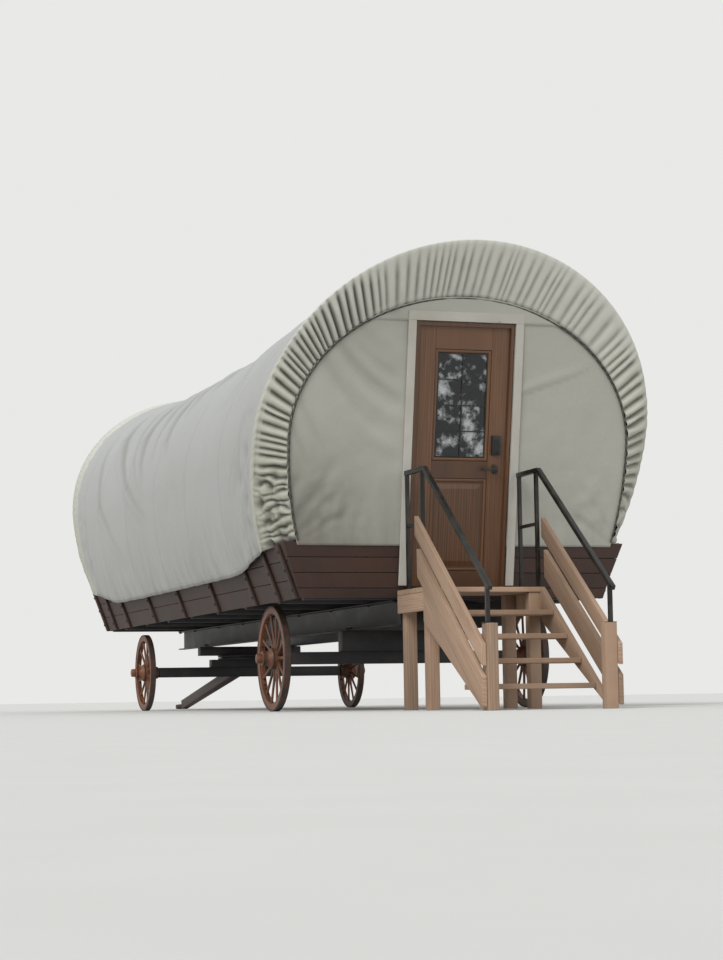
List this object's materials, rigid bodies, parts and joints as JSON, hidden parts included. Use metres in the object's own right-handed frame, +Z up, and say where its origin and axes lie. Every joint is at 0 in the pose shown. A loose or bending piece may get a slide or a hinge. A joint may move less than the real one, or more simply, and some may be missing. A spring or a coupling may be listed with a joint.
{
  "type": "covered wagon",
  "caption": "Covered wagon cabin: canvas over bent bows with flared gathered hoods, raked end door, stained wood box, spoked wheels, steered front axle, tongue and wooden stairs.",
  "frame": {"origin": "on the ground, under the middle of the box and halfway between the stair foot and the tongue tip", "axes": "+X forward along the tongue, +Y to the left side, +Z up; the door is at the -X end"},
  "size_m": [11.52, 3.21, 3.525],
  "materials": {
    "canvas": "satin",
    "drawcord": "matte",
    "bow_steel": "satin",
    "box_wood": "satin",
    "stake_wood": "satin",
    "floor_wood": "satin",
    "door_wood": "satin",
    "trim_paint": "satin",
    "door_glass": "gloss",
    "leading": "satin",
    "lock": "satin",
    "frame_steel": "satin",
    "wheel_wood": "satin",
    "hub_wood": "satin",
    "tyre_iron": "matte",
    "stair_wood": "matte",
    "handrail_steel": "satin",
    "tongue_wood": "satin",
    "eye_steel": "satin"
  },
  "bodies": {
    "wagon": {"cover": "canvas", "hood_rear": "canvas", "hood_front": "canvas", "rear_canvas": "canvas", "front_canvas": "canvas", "drawcords": "drawcord", "bows": "bow_steel", "side_left": "box_wood", "side_right": "box_wood", "end_front": "box_wood", "end_rear": "box_wood", "stakes_left": "stake_wood", "stakes_right": "stake_wood", "floor": "floor_wood", "door_frame": "door_wood", "door_trim": "trim_paint", "frame_rails": "frame_steel", "cross_members": "frame_steel", "rear_axle": "frame_steel", "rear_bolster": "frame_steel", "front_bolster": "frame_steel", "stair_treads": "stair_wood", "stair_stringers": "stair_wood", "stair_guards": "stair_wood", "handrails": "handrail_steel"},
    "door": {"door_leaf": "door_wood", "door_glass": "door_glass", "door_leading": "leading", "door_lock": "lock", "door_hinges": "lock"},
    "front_gear": {"front_axle": "frame_steel", "turntable": "frame_steel", "hounds": "tongue_wood"},
    "tongue": {"tongue_pole": "tongue_wood", "tongue_eye": "eye_steel"},
    "wheel_rear_left": {"hub_rear_left": "hub_wood", "wheel_rear_left": "wheel_wood", "tyre_rear_left": "tyre_iron"},
    "wheel_rear_right": {"hub_rear_right": "hub_wood", "wheel_rear_right": "wheel_wood", "tyre_rear_right": "tyre_iron"},
    "wheel_front_left": {"hub_front_left": "hub_wood", "wheel_front_left": "wheel_wood", "tyre_front_left": "tyre_iron"},
    "wheel_front_right": {"hub_front_right": "hub_wood", "wheel_front_right": "wheel_wood", "tyre_front_right": "tyre_iron"}
  },
  "joints": [
    {"name": "door_swing", "type": "hinge", "parent": "wagon", "child": "door", "pos_m": [-3.735, 0.381, 0.95146], "axis": [-0.1736, 0, 0.9848], "range_deg": [0, 90]},
    {"name": "front_steer", "type": "hinge", "parent": "wagon", "child": "front_gear", "pos_m": [2.5, 0, 0.5], "axis": [0, 0, 1], "range_deg": [-35, 35]},
    {"name": "tongue_lift", "type": "hinge", "parent": "front_gear", "child": "tongue", "pos_m": [3.14, 0, 0.39], "axis": [0, -1, 0], "range_deg": [0, 20]},
    {"name": "rear_left_spin", "type": "hinge", "parent": "wagon", "child": "wheel_rear_left", "pos_m": [-2.5, 1.11, 0.43], "axis": [0, 1, 0], "continuous": true},
    {"name": "rear_right_spin", "type": "hinge", "parent": "wagon", "child": "wheel_rear_right", "pos_m": [-2.5, -1.11, 0.43], "axis": [0, 1, 0], "continuous": true},
    {"name": "front_left_spin", "type": "hinge", "parent": "front_gear", "child": "wheel_front_left", "pos_m": [2.5, 1.11, 0.39], "axis": [0, 1, 0], "continuous": true},
    {"name": "front_right_spin", "type": "hinge", "parent": "front_gear", "child": "wheel_front_right", "pos_m": [2.5, -1.11, 0.39], "axis": [0, 1, 0], "continuous": true}
  ]
}
